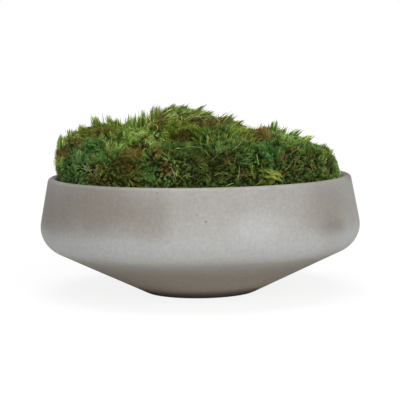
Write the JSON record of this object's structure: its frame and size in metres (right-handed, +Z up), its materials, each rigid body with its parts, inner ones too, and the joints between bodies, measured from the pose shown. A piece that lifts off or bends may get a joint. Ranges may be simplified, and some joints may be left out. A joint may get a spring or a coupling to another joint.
{
  "type": "moss bowl garden",
  "caption": "Low round concrete bowl with a small flat foot and sloping sides, filled with a dense mound of shaggy green and brown moss clumps.",
  "frame": {"origin": "centre of the bowl's flat foot, on the surface that it stands on", "axes": "+Z up along the bowl's axis; the front of the arrangement faces -Y, and +X is to its right seen from the front"},
  "size_m": [0.457, 0.457, 0.2741],
  "materials": {
    "concrete": "satin",
    "soil": "matte",
    "moss_deep_green": "matte",
    "moss_blue_green": "matte",
    "moss_bright_green": "matte",
    "moss_olive": "matte",
    "moss_brown_green": "matte",
    "brown_thatch": "matte"
  },
  "bodies": {
    "root": {"bowl": "concrete", "soil": "soil", "moss_front_centre": "moss_deep_green", "moss_front_right": "moss_deep_green", "moss_right_front": "moss_deep_green", "moss_centre_right": "moss_deep_green", "moss_far_right": "moss_deep_green", "moss_back_mid_left": "moss_deep_green", "moss_left_front": "moss_blue_green", "moss_right_middle": "moss_blue_green", "moss_back_mid_right": "moss_blue_green", "moss_rear_left": "moss_blue_green", "moss_right": "moss_bright_green", "moss_centre_left": "moss_bright_green", "moss_crown": "moss_bright_green", "moss_upright": "moss_bright_green", "moss_right_back": "moss_bright_green", "moss_rear_centre": "moss_bright_green", "moss_left_back": "moss_olive", "moss_olive": "moss_olive", "moss_left_rear": "moss_olive", "moss_back_centre": "moss_olive", "moss_front_left": "moss_brown_green", "moss_rear_right": "moss_brown_green", "thatch_left": "brown_thatch", "thatch_crown": "brown_thatch", "thatch_right": "brown_thatch"}
  },
  "joints": []
}
